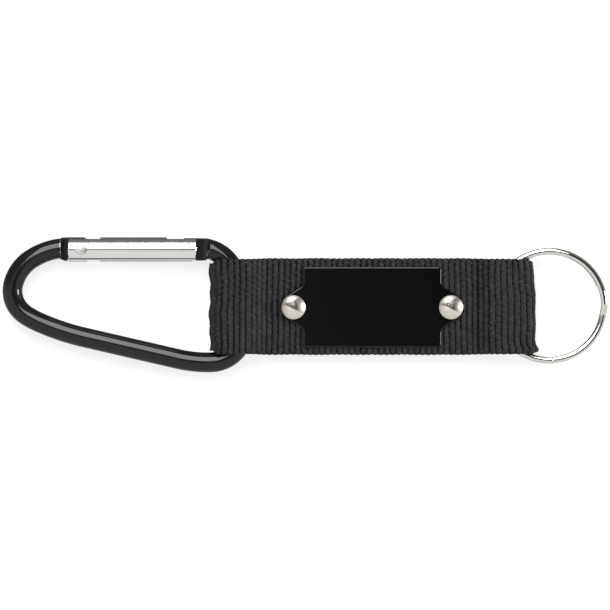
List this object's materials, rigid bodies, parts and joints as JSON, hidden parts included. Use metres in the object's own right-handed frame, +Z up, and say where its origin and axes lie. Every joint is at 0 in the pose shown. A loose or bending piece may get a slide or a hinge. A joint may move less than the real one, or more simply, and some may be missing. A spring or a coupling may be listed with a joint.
{
  "type": "carabiner keyring",
  "caption": "Webbing strap keyring with a blank riveted plate, a spring-gate snap hook at one end and a split ring at the other.",
  "frame": {"origin": "on the surface the keyring lies on, under the middle of its bounding box", "axes": "+X along the strap from the snap hook towards the split ring, +Y across the strap towards the hook's gate, +Z up, out of the name plate's face"},
  "size_m": [0.1573, 0.0351, 0.0085],
  "materials": {
    "black_rod": "glossy black",
    "gate_aluminium": "satin",
    "pivot_steel": "smooth",
    "spring_steel": "drawn wire",
    "webbing": "ribbed weave",
    "plate_black": "glossy black",
    "rivet_nickel": "nickel plate",
    "ring_nickel": "nickel plate"
  },
  "bodies": {
    "strap": {"webbing_front": "webbing", "webbing_back_left": "webbing", "webbing_back_right": "webbing", "name_plate": "plate_black", "left_rivet_cap": "rivet_nickel", "left_rivet_post": "rivet_nickel", "right_rivet_cap": "rivet_nickel", "right_rivet_post": "rivet_nickel"},
    "left_loop": {"webbing_left_loop": "webbing"},
    "hook": {"carabiner_body": "black_rod"},
    "gate": {"gate": "gate_aluminium", "gate_rivet": "pivot_steel", "gate_spring": "spring_steel"},
    "plunger": {"gate_plunger": "pivot_steel"},
    "right_loop": {"webbing_right_loop": "webbing"},
    "ring": {"split_ring": "ring_nickel"}
  },
  "joints": [
    {"name": "left_bend", "type": "hinge", "parent": "strap", "child": "left_loop", "pos_m": [-0.0092, -0.0004, 0.00425], "axis": [0, 1, 0], "range_deg": [-65, 65], "stiffness_Nm_per_rad": 0.01},
    {"name": "hook_swing", "type": "hinge", "parent": "left_loop", "child": "hook", "pos_m": [-0.0182, -0.0004, 0.00425], "axis": [0, 1, 0], "range_deg": [-6, 6]},
    {"name": "gate_swing", "type": "hinge", "parent": "hook", "child": "gate", "pos_m": [-0.0579, 0.01442, 0.00425], "axis": [0, 0, -1], "range_deg": [0, 45], "stiffness_Nm_per_rad": 0.04, "springref_deg": -68.75},
    {"name": "plunger_slide", "type": "slide", "parent": "gate", "child": "plunger", "axis": [1, 0, 0], "range_m": [0, 0.00165], "deforming": ["gate_spring"]},
    {"name": "right_bend", "type": "hinge", "parent": "strap", "child": "right_loop", "pos_m": [0.0442, -0.0004, 0.00425], "axis": [0, -1, 0], "range_deg": [-65, 65], "stiffness_Nm_per_rad": 0.005},
    {"name": "ring_spin", "type": "hinge", "parent": "right_loop", "child": "ring", "pos_m": [0.0636, -0.0002, 0.00425], "axis": [0, 0, 1], "continuous": true}
  ],
  "couplings": [
    {"joint": "plunger_slide", "follows": "gate_swing", "m_per_rad": 0.0020372}
  ]
}
